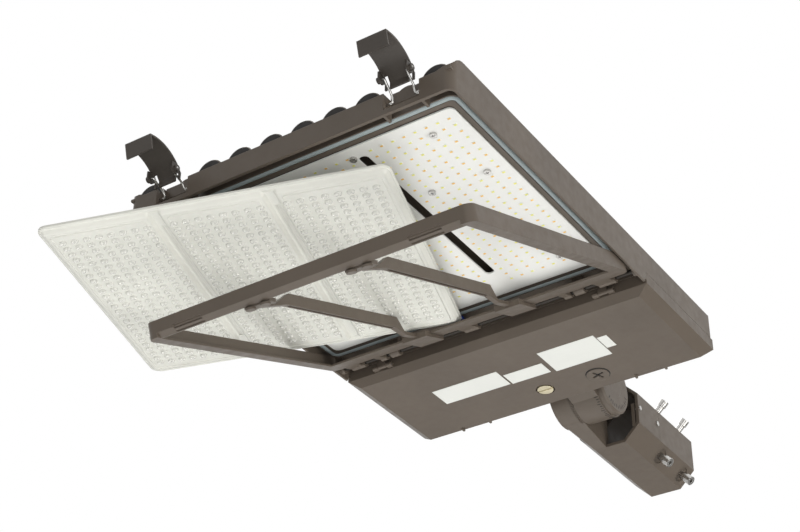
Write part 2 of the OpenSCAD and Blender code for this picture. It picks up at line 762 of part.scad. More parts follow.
module door_frame() color(bronze) in_door() difference() {
  union() {
    // Flange round the window
    difference() {
      translate([0, 0, door_z0]) linear_extrude(door_t) difference() {
        round_rect(door_w, door_y0, rail_y1, door_corner_r);
        translate([-door_window_x, door_y0 + front_flange_w])
          square([2 * door_window_x, rail_y0 - door_y0 - front_flange_w]);
      }
      span([-front_rail_l / 2, 0, 0], [front_rail_l / 2, door_y0 + front_flange_w, side_h]);
    }
    // Walls at the sides and the front corners
    difference() {
      translate([0, 0, door_z0]) linear_extrude(door_h) difference() {
        round_rect(door_w, door_y0, rail_y1, door_corner_r);
        round_rect(2 * door_inner, door_y0 + door_t, rail_y1 - rail_wall_t, door_corner_r - door_t);
      }
      span([-front_rail_l / 2, 0, 0], [front_rail_l / 2, door_y0 + front_flange_w, side_h]);
      span([-door_half, rail_y1 - rail_wall_t - over, rail_wall_z1], [door_half, rail_y1 + over, side_h]);
    }
    slab_x(-front_rail_l / 2, front_rail_l / 2) polygon(front_rail);
    for (k = door_knuckles) {
      rod_x(k[0], k[0] + k[1], hinge_y, hinge_z, knuckle_r);
      span([k[0], rail_y1 - rail_wall_t, door_z0], [k[0] + k[1], hinge_y, web_z1]);
    }
  }
  both_sides() difference() {
    span([latch_x - ledge_w / 2, door_y0 - over, door_z0 - over],
      [latch_x + ledge_w / 2, door_y0 + chamfer_y - gap, door_z0 + chamfer_z + door_t]);
    rod_x(latch_x - ledge_w, latch_x + ledge_w, door_y0 + chamfer_y / 2, door_z0 + chamfer_z / 2,
      ledge_bar_r);
    slab_x(latch_x - ledge_w, latch_x + ledge_w) polygon([[door_y0 + catch_d, side_h],
      [door_y0 + catch_d, door_z0 + chamfer_z + catch_d / 2], [door_y0 + chamfer_y, door_z0 + catch_d],
      [door_y0 + front_flange_w + over, door_z0 + catch_d], [door_y0 + front_flange_w + over, side_h]]);
  }
  rod_x(-door_half, door_half, hinge_y, hinge_z, rod_r + fit_gap);
}

// Side view of a crossbar on the closed door
bar_side = [[bar_y0, bar_low_z0], [bar_y0 + foot_l + pad_t, bar_low_z0], [bar_full_y0 - pad_r, bar_z0],
  [bar_bend_y0, bar_z0], [bar_bend_y1, bar_low_z0], [rail_y0 - gap, bar_low_z0],
  [rail_y0 - gap, bar_low_z1], [slot_y1, bar_low_z1], [bar_full_y1, bar_z1], [bar_full_y0, bar_z1],
  [slot_y0, bar_low_z1], [bar_y0, bar_low_z1]];

module crossbar(s) color(bronze) in_door() translate([s * crossbar_x, 0, 0]) {
  difference() {
    slab_x(-bar_w / 2, bar_w / 2) polygon(bar_side);
    span([-bar_w / 2 + bar_wall, bar_full_y0, bar_z0 - over],
      [bar_w / 2 - bar_wall, bar_bend_y0, bar_z1 - bar_wall]);
  }
  // Foot with two pads that reach below the front rail
  span([-foot_w / 2, bar_y0, bar_low_z0], [foot_w / 2, bar_y0 + foot_l, bar_low_z1]);
  for (x = [-foot_w / 2 + pad_r + over, foot_w / 2 - pad_r - over])
    translate([x, bar_y0 + over, bar_low_z0 - pad_t]) cylinder(h = pad_t + gap, r = pad_r);
  // Cup round the hinge rail
  difference() {
    span([-cup_w / 2, rail_y0 - foot_l, bar_low_z0 - cup_t],
      [cup_w / 2, rail_y1 + cup_t + gap, bar_low_z1 + cup_t]);
    span([-cup_w / 2 - over, rail_y0 - gap, door_z0 - gap], [cup_w / 2 + over, rail_y1 + gap, side_h]);
    span([-cup_w / 2 - over, rail_y0 - foot_l - over, bar_low_z1], [cup_w / 2 + over, rail_y0, side_h]);
  }
}

module crossbar_left() crossbar(-1);
module crossbar_right() crossbar(1);

// Places a piece drawn in the lens's own frame where the lens lies
module in_lens() in_row() translate(lens_at) rotate(lens_turn) children();

bay_x1 = lens_w / 2 - panel_margin;
bay_mid = crossbar_x - panel_gap / 2;
bay_out = crossbar_x + panel_gap / 2;
// Left and right edge of each bulged panel
bays = [[-bay_x1, -bay_out], [-bay_mid, bay_mid], [bay_out, bay_x1]];
channel_x = bar_w / 2 + channel_gap + channel_wall;
seat_y = door_y0 + front_flange_w / 2 + lens_l / 2;
channel_z1 = bar_z1 - door_z0 - door_t + channel_gap + channel_wall;

module lens() color(clear, 0.8) in_lens() difference() {
  union() {
    linear_extrude(lens_t) round_rect(lens_w, -lens_l / 2, lens_l / 2, lens_r);
    for (b = bays) span([b[0], -panel_y / 2, -panel_drop], [b[1], panel_y / 2, lens_t]);
    for (s = [-1, 1]) span([s * crossbar_x - channel_x, slot_y0 + channel_wall - seat_y, 0],
      [s * crossbar_x + channel_x, slot_y1 - channel_wall - seat_y, channel_z1]);
  }
  for (b = bays) span([b[0] + lens_t, -panel_y / 2 + lens_t, -panel_drop + lens_t],
    [b[1] - lens_t, panel_y / 2 - lens_t, lens_t + over]);
  for (s = [-1, 1])
    span([s * crossbar_x - channel_x + channel_wall, slot_y0 + 2 * channel_wall - seat_y, -over],
      [s * crossbar_x + channel_x - channel_wall, slot_y1 - 2 * channel_wall - seat_y,
      channel_z1 - channel_wall]);
}

// Frame at a latch's pivot in the housing, with the bail along -Y at the given angle
module in_bail(s, angle) in_row() translate([s * latch_x, latch_y, latch_z]) rotate([-angle, 0, 0])
  children();

module latch_bail(s, angle) color(silver) in_bail(s, angle) {
  r = bail_d / 2;
  rod_x(-pocket_w / 2 - pocket_wall_t, pocket_w / 2 + pocket_wall_t, 0, 0, r);
  for (x = [-bail_arm_x, bail_arm_x]) rod_y(x, -bail_l, 0, 0, r);
  rod_x(-lever_w / 2 - lug_l - gap, lever_w / 2 + lug_l + gap, -bail_l, 0, r);
}

module latch_bail_left() latch_bail(-1, bail_left_angle);
module latch_bail_right() latch_bail(1, bail_right_angle);

// Frame at a lever's pivot on the bail, square to the light
module in_lever(s, angle, turn) in_bail(s, angle) translate([0, -bail_l, 0])
  rotate([angle + turn, 0, 0]) children();

function arc_point(a, r) = lever_arc_at + r * [cos(a), sin(a)];
nose_at = arc_point(lever_arc_from, lever_arc_r);
tip_at = arc_point(lever_arc_to, lever_arc_r);
far = 2 * lever_arc_r;

// Side view of the curved lever plate, its nose and its finger flange
module lever_side() {
  intersection() {
    translate(lever_arc_at) difference() {
      circle(lever_arc_r, $fn = 96);
      circle(lever_arc_r - lever_t, $fn = 96);
    }
    polygon([lever_arc_at, arc_point(lever_arc_from, far),
      arc_point((lever_arc_from + lever_arc_to) / 2, far), arc_point(lever_arc_to, far)]);
  }
  translate([nose_at[0] - lever_t, nose_at[1] - lever_nose_l]) square([lever_t, lever_nose_l + lever_t / 2]);
  translate(tip_at) rotate(lever_flange_lean) translate([0, -lever_flange_l])
    square([lever_t, lever_flange_l]);
}

module latch_lever(s, angle, turn) color(dark_bronze) in_lever(s, angle, turn) difference() {
  union() {
    slab_x(-lever_w / 2, lever_w / 2) lever_side();
    for (k = [-1, 1]) {
      x = k * (lever_w / 2 - ear_t / 2);
      rod_x(x - ear_t / 2, x + ear_t / 2, 0, 0, ear_r);
      span([x - ear_t / 2, -ear_r, 0], [x + ear_t / 2, ear_r / 2, ear_r + lever_t / 2]);
      rod_x(k > 0 ? lever_w / 2 - over : -lever_w / 2 - lug_l,
        k > 0 ? lever_w / 2 + lug_l : -lever_w / 2 + over, 0, 0, lug_r);
    }
  }
  rod_x(-lever_w, lever_w, 0, 0, bail_d / 2 + fit_gap);
  // Slots in the nose that the arms of the bail swing through
  for (k = [-1, 1]) span([k * bail_arm_x - arm_slot_w / 2, arm_slot_y, -ear_r - lever_nose_l],
    [k * bail_arm_x + arm_slot_w / 2, 2 * arm_slot_z, arm_slot_z]);
}

module latch_lever_left() latch_lever(-1, bail_left_angle, left_lever_turn);
module latch_lever_right() latch_lever(1, bail_right_angle, right_lever_turn);

// Places on the rear wall where the knuckle is bolted from inside
module at_knuckle_bolts() for (x = [flange_x0 + knuckle_bolt_in, flange_x1 - knuckle_bolt_in],
    z = [neck_z0 + knuckle_bolt_in, neck_z1 - knuckle_bolt_in])
  translate([x, rear_y, z]) children();

// Barrel, neck and flange that join the housing to the slip fitter
module tilt_knuckle() color(bronze) in_row() difference() {
  union() {
    translate([barrel_x0, tilt_y, tilt_z]) rotate([0, 90, 0]) rotate_extrude($fn = 96) polygon([[0, 0],
      [barrel_r, 0], [barrel_r, barrel_step_x - barrel_x0],
      [barrel_r - barrel_step, barrel_step_x - barrel_x0],
      [barrel_r - barrel_step, barrel_x1 - barrel_x0 - barrel_round],
      [barrel_r - barrel_step - barrel_round, barrel_x1 - barrel_x0], [0, barrel_x1 - barrel_x0]]);
    span([flange_x0, rear_y, neck_z0], [flange_x1, rear_y + flange_t, neck_z1]);
    slab_x(barrel_x0, neck_x1) polygon([[rear_y, neck_z0],
      [tilt_y - barrel_r / 2, tilt_z - barrel_r * 3 / 4], [tilt_y, tilt_z],
      [tilt_y - barrel_r / 2, tilt_z + barrel_r * 3 / 4], [rear_y, neck_z1]]);
  }
  rod_x(barrel_x0 - over, barrel_x1 + over, tilt_y, tilt_z, pivot_r + fit_gap);
  rod_x(barrel_x1 - pivot_recess_d, barrel_x1 + over, tilt_y, tilt_z, pivot_recess_r);
  at_knuckle_bolts() translate([0, -over, 0]) rotate([-90, 0, 0])
    cylinder(h = flange_t + over, r = knuckle_bolt_r);
}

module knuckle_bolts() color(silver) in_row() at_knuckle_bolts() {
  translate([0, -rear_wall_t, 0]) rotate([-90, 0, 0])
    cylinder(h = rear_wall_t + flange_t, r = knuckle_bolt_r);
  translate([0, -rear_wall_t - knuckle_bolt_head_h, 0]) rotate([-90, 0, 0])
    cylinder(h = knuckle_bolt_head_h, r = knuckle_bolt_head_r, $fn = 6);
}

// Cap that closes the recess of the tilt nut
module pivot_cap() color(bronze) in_row()
  rod_x(barrel_x1 - pivot_cap_t, barrel_x1, tilt_y, tilt_z, pivot_recess_r - fit_gap);

// Frame of the slip fitter: its axis at the light's middle, its mouth at Y = 0
module in_fitter() children();

function octagon(a, b) = [[-b, -a], [b, -a], [a, -b], [a, b], [b, a], [-b, a], [-a, b], [-a, -b]];
inner_half = fit_half - trough_t;
inner_flat = flat_half - trough_t * (sqrt(2) - 1);

module octagon_tube(y0, y1) difference() {
  slab_y(y0, y1) polygon(octagon(fit_half, flat_half));
  slab_y(y0 - over, y1 + over) polygon(octagon(inner_half, inner_flat));
}

module at_set_bolts() for (y = bolt_y, s = [-1, 1])
  translate([0, y, 0]) rotate([0, 90 - s * 45, 0]) children();

diagonal = (fit_half + flat_half) / sqrt(2);

module slip_fitter() color(bronze) in_fitter() difference() {
  union() {
    difference() {
      slab_y(-tenon_depth, 0) polygon(octagon(fit_half, flat_half));
      rod_y(0, -tenon_depth - over, over, 0, tenon_d / 2);
    }
    intersection() {
      octagon_tube(-trough_l, -tenon_depth + over);
      span([-fitter_w, -housing_l, -fitter_w], [fitter_w, 0, split_z]);
    }
    // Lugs that take the screws of the fitter's cover
    for (y = cover_screw_y) span([inner_half - cover_lug_t, y - lug_w / 2, -inner_flat - trough_t],
      [inner_half - lug_gap, y + lug_w / 2, lug_w]);
    fitter_arm();
  }
  at_set_bolts() cylinder(h = fitter_w, r = set_bolt_r);
  at_set_bolts() translate([0, 0, diagonal - bolt_pad_d]) cylinder(h = fitter_w, r = bolt_pad_r);
  rod_x(-fitter_w, fitter_w, tilt_y - fitter_end_y, tilt_z - fitter_z, pivot_r);
  for (y = cover_screw_y) rod_x(0, fitter_w, y, 1, cover_screw_r);
}

// Arm on the left of the barrel, from the tilt pivot back into the trough
module fitter_arm() {
  py = tilt_y - fitter_end_y;
  pz = tilt_z - fitter_z;
  rod_x(arm_x0, arm_x1, py, pz, arm_r);
  intersection() {
    slab_x(arm_x0, arm_x1) polygon([[py, pz], [py, pz - arm_r], [-trough_l, -fit_half],
      [-trough_l, arm_top], [-hood_l - gap, fit_half - hood_t - gap], [py, pz + arm_r]]);
    slab_y(py - over, over - trough_l) polygon([[-flat_half, -fit_half], [0, -fit_half], [0, fitter_w],
      [-fit_half, fitter_w], [-fit_half, -flat_half]]);
  }
  intersection() {
    slab_y(-trough_l - over, -trough_l + arm_overlap)
      polygon(octagon(inner_half + over / 2, inner_flat + over / 4));
    span([arm_x0, -housing_l, -fitter_w], [arm_x1, 0, 0]);
  }
}

module fitter_cover() color(bronze) in_fitter() difference() {
  union() {
    intersection() {
      octagon_tube(-trough_l, -tenon_depth - gap);
      span([-fitter_w, -housing_l, split_z + gap], [fitter_w, 0, fitter_w]);
    }
    intersection() {
      octagon_tube(-hood_l, -trough_l + over);
      span([-fitter_w, -housing_l, fit_half - hood_t], [fitter_w, 0, fitter_w]);
    }
  }
  for (y = cover_screw_y) rod_x(0, fitter_w, y, 1, cover_screw_r);
}

module fitter_cover_screws() color(silver) in_fitter() for (y = cover_screw_y) {
  rod_x(inner_half - cover_lug_t, fit_half, y, 1, cover_screw_r);
  rod_x(fit_half, fit_half + cover_screw_head_h, y, 1, cover_screw_head_r);
}

module set_bolts() color(silver) in_fitter() at_set_bolts() difference() {
  union() {
    translate([0, 0, tenon_d / 2 + gap]) cylinder(h = set_bolt_head_at - tenon_d / 2 - gap, r = set_bolt_r);
    translate([0, 0, set_bolt_head_at]) cylinder(h = set_bolt_head_h, r = set_bolt_head_r);
  }
  translate([0, 0, set_bolt_head_at + set_bolt_head_h - set_bolt_hex_d])
    cylinder(h = set_bolt_hex_d + over, r = set_bolt_hex_r, $fn = 6);
}

module tilt_bolt() color(silver) in_row() {
  rod_x(arm_x0, barrel_x1 - pivot_recess_d + nut_h, tilt_y, tilt_z, pivot_r);
  translate([arm_x0 - pivot_head_h, tilt_y, tilt_z]) rotate([0, 90, 0])
    cylinder(h = pivot_head_h, r = pivot_head_r, $fn = 6);
}

module tilt_nut() color(silver) in_row() difference() {
  translate([barrel_x1 - pivot_recess_d + gap, tilt_y, tilt_z]) rotate([0, 90, 0])
    cylinder(h = nut_h - gap, r = nut_r, $fn = 6);
  rod_x(barrel_x0, barrel_x1 + over, tilt_y, tilt_z, pivot_r);
}

housing();
led_board();
board_screws();
gasket();
driver();
driver_screws();
surge_protector();
terminal_block();
lead_grommet();
board_leads();
driver_leads();
door_hinge_rod();
cover_hinge_pins();
driver_cover();
cover_gasket();
captive_screw();
access_plug();
blank_labels();
door_frame();
crossbar_left();
crossbar_right();
lens();
latch_bail_left();
latch_lever_left();
latch_bail_right();
latch_lever_right();
tilt_knuckle();
knuckle_bolts();
pivot_cap();
slip_fitter();
fitter_cover();
fitter_cover_screws();
set_bolts();
tilt_bolt();
tilt_nut();
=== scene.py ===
import json
import math

import bmesh
import bpy
from mathutils import Euler, Matrix, Vector


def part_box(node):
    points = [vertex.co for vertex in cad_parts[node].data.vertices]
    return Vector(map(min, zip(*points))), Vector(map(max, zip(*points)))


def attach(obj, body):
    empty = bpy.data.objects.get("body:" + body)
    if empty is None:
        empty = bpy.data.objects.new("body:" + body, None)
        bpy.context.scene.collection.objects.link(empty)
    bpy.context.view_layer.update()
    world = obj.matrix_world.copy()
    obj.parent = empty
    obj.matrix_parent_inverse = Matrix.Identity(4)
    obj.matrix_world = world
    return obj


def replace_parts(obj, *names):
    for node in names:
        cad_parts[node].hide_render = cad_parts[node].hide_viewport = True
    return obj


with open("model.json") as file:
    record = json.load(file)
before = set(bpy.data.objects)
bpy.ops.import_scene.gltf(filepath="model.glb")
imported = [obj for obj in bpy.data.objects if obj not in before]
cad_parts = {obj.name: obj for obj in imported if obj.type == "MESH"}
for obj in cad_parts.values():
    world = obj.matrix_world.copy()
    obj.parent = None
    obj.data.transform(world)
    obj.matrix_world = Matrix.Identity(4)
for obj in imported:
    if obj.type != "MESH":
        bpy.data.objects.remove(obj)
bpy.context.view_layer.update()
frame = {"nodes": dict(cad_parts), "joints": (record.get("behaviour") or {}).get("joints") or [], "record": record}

# Sizes and places are in mm, measured from the middle of the housing's front rim: X along the
# rim, Y towards the slip fitter, Z up. The row frame, in metres, starts at the tenon socket's mouth.
MM = 0.001
NODES = frame["nodes"]
JOINTS = {joint["name"]: joint for joint in frame["joints"]}
HOUSING_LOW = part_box("housing")[0]
ORIGIN = Vector((0.0, round(-HOUSING_LOW.y / MM), round(-HOUSING_LOW.z / MM)))


def at(x, y, z):
    """A place given in mm from the front rim, in the row frame in metres."""
    return (Vector((x, y, z)) - ORIGIN) * MM


def from_rim(place):
    """A place of the row frame in metres, in mm from the front rim, to the nearest micrometre."""
    return [round(c / MM + o, 3) for c, o in zip(place, ORIGIN)]


def node_box(node):
    """The lowest and highest corner of a CAD node, in mm from the front rim."""
    low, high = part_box(node)
    return from_rim(low), from_rim(high)


def joint_place(name):
    """The place of a joint's axis, in mm from the front rim."""
    return from_rim(JOINTS[name]["pos_m"])


# Camera, solved from the photo
PHOTO_WIDTH = 800.0
FOCAL_LENGTH_PIXELS = 1752.37
SENSOR_WIDTH = 36.0
CAMERA_AT = (718.78, -891.90, -872.54)
CAMERA_RIGHT = Vector((0.83217, 0.55447, 0.00728))
CAMERA_FORWARD = Vector((-0.46371, 0.68863, 0.55746))
CLIP_NEAR = 0.01
CLIP_FAR = 50.0


def add_camera():
    data = bpy.data.cameras.new("camera")
    camera = bpy.data.objects.new("camera", data)
    bpy.context.scene.collection.objects.link(camera)
    forward = CAMERA_FORWARD.normalized()
    up = CAMERA_RIGHT.normalized().cross(forward).normalized()
    right = forward.cross(up).normalized()
    turn = Matrix((right, up, -forward)).transposed().to_4x4()
    camera.matrix_world = Matrix.Translation(at(*CAMERA_AT)) @ turn
    data.sensor_fit = "HORIZONTAL"
    data.sensor_width = SENSOR_WIDTH
    data.lens = FOCAL_LENGTH_PIXELS * SENSOR_WIDTH / PHOTO_WIDTH
    data.clip_start = CLIP_NEAR
    data.clip_end = CLIP_FAR
    bpy.context.scene.camera = camera


add_camera()


# Materials. Most values of a noise texture lie between NOISE_LOW and NOISE_HIGH.
NOISE_LOW = 0.3
NOISE_HIGH = 0.7
EDGE_SHARP = 0.75
EDGE_FLAT = 0.995
BEVEL_SAMPLES = 4


def new_material(name):
    material = bpy.data.materials.new(name)
    material.use_nodes = True
    tree = material.node_tree
    return material, tree, tree.nodes["Principled BSDF"]


def noise(tree, scale, detail, roughness=0.5):
    """A noise texture in the piece's own coordinates, scale in features per metre."""
    coordinates = tree.nodes.new("ShaderNodeTexCoord")
    texture = tree.nodes.new("ShaderNodeTexNoise")
    texture.inputs["Scale"].default_value = scale
    texture.inputs["Detail"].default_value = detail
    texture.inputs["Roughness"].default_value = roughness
    tree.links.new(coordinates.outputs["Object"], texture.inputs["Vector"])
    return texture.outputs["Fac"]


def remap(tree, value, low=0.0, high=1.0, start=NOISE_LOW, stop=NOISE_HIGH):
    """low to high, as value goes from start to stop."""
    spread = tree.nodes.new("ShaderNodeMapRange")
    spread.inputs["From Min"].default_value = start
    spread.inputs["From Max"].default_value = stop
    spread.inputs["To Min"].default_value = low
    spread.inputs["To Max"].default_value = high
    tree.links.new(value, spread.inputs["Value"])
    return spread.outputs["Result"]


def mix_colours(tree, factor, first, second):
    """first where factor is 0 and second where it is 1, each a colour or a node's output."""
    mix = tree.nodes.new("ShaderNodeMix")
    mix.data_type = "RGBA"
    factor_socket, first_socket, second_socket = mix.inputs[0], mix.inputs[6], mix.inputs[7]
    for socket, value in ((first_socket, first), (second_socket, second)):
        if isinstance(value, tuple):
            socket.default_value = (*value, 1.0)
        else:
            tree.links.new(value, socket)
    tree.links.new(factor, factor_socket)
    return mix.outputs[2]


def rounded_normal(tree, radius):
    """The surface's direction with its sharp edges rounded, radius in metres."""
    bevel = tree.nodes.new("ShaderNodeBevel")
    bevel.samples = BEVEL_SAMPLES
    bevel.inputs["Radius"].default_value = radius
    return bevel.outputs["Normal"]


def edge_mask(tree, rounded):
    """1 on sharp edges and 0 on flat faces, from a rounded normal set against the true one."""
    geometry = tree.nodes.new("ShaderNodeNewGeometry")
    dot = tree.nodes.new("ShaderNodeVectorMath")
    dot.operation = "DOT_PRODUCT"
    tree.links.new(rounded, dot.inputs[0])
    tree.links.new(geometry.outputs["Normal"], dot.inputs[1])
    return remap(tree, dot.outputs["Value"], low=1.0, high=0.0, start=EDGE_SHARP, stop=EDGE_FLAT)


def bump(tree, shader, height, strength, distance, normal=None):
    node = tree.nodes.new("ShaderNodeBump")
    node.inputs["Strength"].default_value = strength
    node.inputs["Distance"].default_value = distance
    tree.links.new(height, node.inputs["Height"])
    if normal is not None:
        tree.links.new(normal, node.inputs["Normal"])
    tree.links.new(node.outputs["Normal"], shader.inputs["Normal"])


def tint(colour, strength):
    return tuple(min(1.0, c * strength) for c in colour)


def uneven_colour(tree, colour, scale, detail, dark, light):
    """The colour, changing slowly over the surface from dark to light times its strength."""
    slow = remap(tree, noise(tree, scale, detail))
    return mix_colours(tree, slow, tint(colour, dark), tint(colour, light))


def uneven_roughness(tree, shader, rough, scale, detail=3.0, roughness=0.5):
    fine = noise(tree, scale, detail, roughness)
    tree.links.new(remap(tree, fine, *rough), shader.inputs["Roughness"])


def coated_metal(name, colour, rough=(0.36, 0.5), edge_highlight=1.45):
    """Powder coat: fine orange peel, slow changes of tone, and a painted highlight that makes sharp edges lighter.
    """
    material, tree, shader = new_material(name)
    shader.inputs["Specular IOR Level"].default_value = 0.3
    body = uneven_colour(tree, colour, scale=14.0, detail=4.0, dark=0.93, light=1.07)
    rounded = rounded_normal(tree, radius=0.0007)
    # Painted highlight: the edge mask lightens the colour on sharp edges, standing in for light catching them.
    highlighted_edges = mix_colours(tree, edge_mask(tree, rounded), body, tint(colour, edge_highlight))
    tree.links.new(highlighted_edges, shader.inputs["Base Color"])
    uneven_roughness(tree, shader, rough, scale=120.0)
    orange_peel = noise(tree, scale=900.0, detail=2.0)
    bump(tree, shader, orange_peel, strength=0.16, distance=0.0003, normal=rounded)
    return material


def bare_metal(name, colour, rough=(0.2, 0.34)):
    """Plated or bare metal with fine scratches and slightly uneven gloss."""
    material, tree, shader = new_material(name)
    shader.inputs["Metallic"].default_value = 1.0
    body = uneven_colour(tree, colour, scale=60.0, detail=3.0, dark=0.86, light=1.06)
    tree.links.new(body, shader.inputs["Base Color"])
    uneven_roughness(tree, shader, rough, scale=260.0, detail=5.0, roughness=0.7)
    grain = noise(tree, scale=1400.0, detail=2.0)
    rounded = rounded_normal(tree, radius=0.0004)
    bump(tree, shader, grain, strength=0.08, distance=0.0002, normal=rounded)
    return material


def moulded(name, colour, rough=(0.45, 0.6), spread=0.05, grain=700.0, strength=0.1):
    """Moulded plastic, rubber, paper or solder mask."""
    material, tree, shader = new_material(name)
    body = uneven_colour(tree, colour, scale=25.0, detail=4.0, dark=1 - spread, light=1 + spread)
    tree.links.new(body, shader.inputs["Base Color"])
    uneven_roughness(tree, shader, rough, scale=180.0)
    skin = noise(tree, scale=grain, detail=2.0)
    rounded = rounded_normal(tree, radius=0.0004)
    bump(tree, shader, skin, strength, distance=0.0002, normal=rounded)
    return material


def frosted(name, colour, alpha, rough):
    """Frosted lens plastic, which lets part of what lies behind it through."""
    material, tree, shader = new_material(name)
    body = uneven_colour(tree, colour, scale=18.0, detail=3.0, dark=0.97, light=1.03)
    tree.links.new(body, shader.inputs["Base Color"])
    uneven_roughness(tree, shader, rough, scale=220.0)
    shader.inputs["Alpha"].default_value = alpha
    shader.inputs["Coat Weight"].default_value = 0.5
    shader.inputs["Coat Roughness"].default_value = 0.12
    bump(tree, shader, noise(tree, scale=500.0, detail=2.0), strength=0.12, distance=0.0003)
    return material


# The slots of the record first, then the looks of single pieces and of the floor
MATERIALS = {
    "bronze_paint": coated_metal("bronze_paint", (0.117, 0.095, 0.075)),
    "dark_bronze_paint": coated_metal("dark_bronze_paint", (0.062, 0.053, 0.045),
                                      rough=(0.32, 0.46), edge_highlight=1.8),
    "board_white": moulded("board_white", (0.84, 0.84, 0.81), rough=(0.4, 0.55), spread=0.02),
    "bright_steel": bare_metal("bright_steel", (0.56, 0.55, 0.53)),
    "pale_brass": bare_metal("pale_brass", (0.74, 0.67, 0.48), rough=(0.3, 0.45)),
    "pale_rubber": moulded("pale_rubber", (0.36, 0.42, 0.43), rough=(0.32, 0.42)),
    "black_rubber": moulded("black_rubber", (0.018, 0.018, 0.018), rough=(0.6, 0.8)),
    "dark_plastic": moulded("dark_plastic", (0.05, 0.055, 0.065)),
    "cream_plastic": moulded("cream_plastic", (0.55, 0.52, 0.42)),
    "blue_lead": moulded("blue_lead", (0.02, 0.05, 0.26), rough=(0.35, 0.5)),
    "driver_case": moulded("driver_case", (0.45, 0.45, 0.45), rough=(0.35, 0.5)),
    "label_paper": moulded("label_paper", (0.76, 0.77, 0.73), rough=(0.4, 0.5), spread=0.02,
                           grain=300.0, strength=0.05),
    "frosted_lens": frosted("frosted_lens", (0.83, 0.83, 0.765), alpha=0.86, rough=(0.3, 0.45)),
    "clear_lens": frosted("clear_lens", (0.86, 0.86, 0.82), alpha=0.5, rough=(0.04, 0.1)),
    "phosphor_warm": moulded("phosphor_warm", (0.92, 0.58, 0.12), rough=(0.3, 0.45)),
    "phosphor_cool": moulded("phosphor_cool", (0.88, 0.86, 0.2), rough=(0.3, 0.45)),
    "dark_rod": bare_metal("dark_rod", (0.05, 0.045, 0.04), rough=(0.4, 0.55)),
    # Painted shade: near-black for the shaded hollow ends of the ridges and the dark scale ticks.
    "ridge_shade": coated_metal("ridge_shade", (0.016, 0.014, 0.013), rough=(0.5, 0.65), edge_highlight=1.2),
    "floor_paint": moulded("floor_paint", (0.8, 0.8, 0.79), rough=(0.7, 0.8), spread=0.01),
}


def paint_nodes():
    for part in frame["record"]["subparts"]:
        for holder in NODES[part["node"]].material_slots:
            holder.material = MATERIALS[part["material_slot"]]
    # The rod of the door hinge shows dark in the photo
    for holder in NODES["door_hinge_rod"].material_slots:
        holder.material = MATERIALS["dark_rod"]


paint_nodes()


# Mesh helpers

def finish_piece(name, bm, body, slot_name, look=None, smooth=True):
    """Turns a bmesh in the row frame into a piece that rides on a body. It looks like its slot
    unless look names another material."""
    mesh = bpy.data.meshes.new(name)
    bm.normal_update()
    bm.to_mesh(mesh)
    bm.free()
    if smooth:
        mesh.shade_smooth()
    mesh.materials.append(MATERIALS[look or slot_name])
    piece = bpy.data.objects.new(name, mesh)
    bpy.context.scene.collection.objects.link(piece)
    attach(piece, body)
    return piece


def circle(sides):
    """Angles evenly round a circle, the last one short of the first."""
    return [2 * math.pi * k / sides for k in range(sides)]


def half_circle(steps):
    """Angles from 0 to half a turn, both ends included."""
    return [math.pi * k / steps for k in range(steps + 1)]


def add_grid(bm, rows, closed=False, cap=False):
    """Skins rows of points. closed joins the ends of each row, and cap shuts the first and last."""
    made = [[bm.verts.new(p) for p in row] for row in rows]
    count = len(made[0])
    for row, following in zip(made, made[1:]):
        for i in range(count if closed else count - 1):
            j = (i + 1) % count
            bm.faces.new((row[i], row[j], following[j], following[i]))
    if cap:
        bm.faces.new(list(reversed(made[0])))
        bm.faces.new(made[-1])
    return made


def add_tube(bm, path, radius, sides):
    """A round tube along a path of points in the row frame, radius in mm."""
    rows = []
    normal = None
    for i, point in enumerate(path):
        ahead = path[min(i + 1, len(path) - 1)] - path[max(i - 1, 0)]
        ahead.normalize()
        if normal is None:
            normal = ahead.orthogonal().normalized()
        normal = (normal - ahead * normal.dot(ahead)).normalized()
        side = ahead.cross(normal)
        rows.append([point + (normal * math.cos(a) + side * math.sin(a)) * radius * MM
                     for a in circle(sides)])
    add_grid(bm, rows, closed=True, cap=True)


def add_block(bm, low, high, place, chamfer):
    """A block with a chamfer all round its outer face, which is at the low end of Z."""
    def ring(z, inset):
        x0, y0, x1, y1 = low[0] + inset, low[1] + inset, high[0] - inset, high[1] - inset
        return [place(x, y, z) for x, y in ((x0, y0), (x1, y0), (x1, y1), (x0, y1))]
    rings = [ring(high[2], 0.0), ring(low[2] + chamfer, 0.0), ring(low[2], chamfer)]
    add_grid(bm, rings, closed=True, cap=True)


CORNER_STEPS = 6


def loop_points(x0, x1, y0, y1, corner_r):
    """Points and outward directions round a rectangle with round corners."""
    corners = ((x1 - corner_r, y1 - corner_r, 0), (x0 + corner_r, y1 - corner_r, 90),
               (x0 + corner_r, y0 + corner_r, 180), (x1 - corner_r, y0 + corner_r, 270))
    for x, y, start in corners:
        for k in range(CORNER_STEPS + 1):
            a = math.radians(start + 90 * k / CORNER_STEPS)
            yield x + corner_r * math.cos(a), y + corner_r * math.sin(a), math.cos(a), math.sin(a)


def recalculate_normals(bm):
    bmesh.ops.recalc_face_normals(bm, faces=bm.faces)


# LED chips on the board: three groups of eight columns
LED_PITCH_X = 10.866
LED_PITCH_Y = 9.43
LED_COLUMNS = 8
LED_ROWS = 25
LED_SIDE_X = 61.5
LED_FRONT_Y = 39.69
CHIP_HALF_X = 1.7
CHIP_HALF_Y = 1.4
CHIP_H = 0.3
CHIP_CHAMFER = 0.12
PHOSPHOR_HALF_X = 1.3
PHOSPHOR_HALF_Y = 1.0
PHOSPHOR_H = 0.36
PHOSPHOR_FOOT = 0.25
PHOSPHOR_CHAMFER = 0.05
BOARD_Z = node_box("led_board")[0][2]


def led_columns():
    """The X of every column, in three groups."""
    side = [LED_SIDE_X + i * LED_PITCH_X for i in range(LED_COLUMNS)]
    middle = [(i - (LED_COLUMNS - 1) / 2) * LED_PITCH_X for i in range(LED_COLUMNS)]
    return [-x for x in reversed(side)] + middle + side


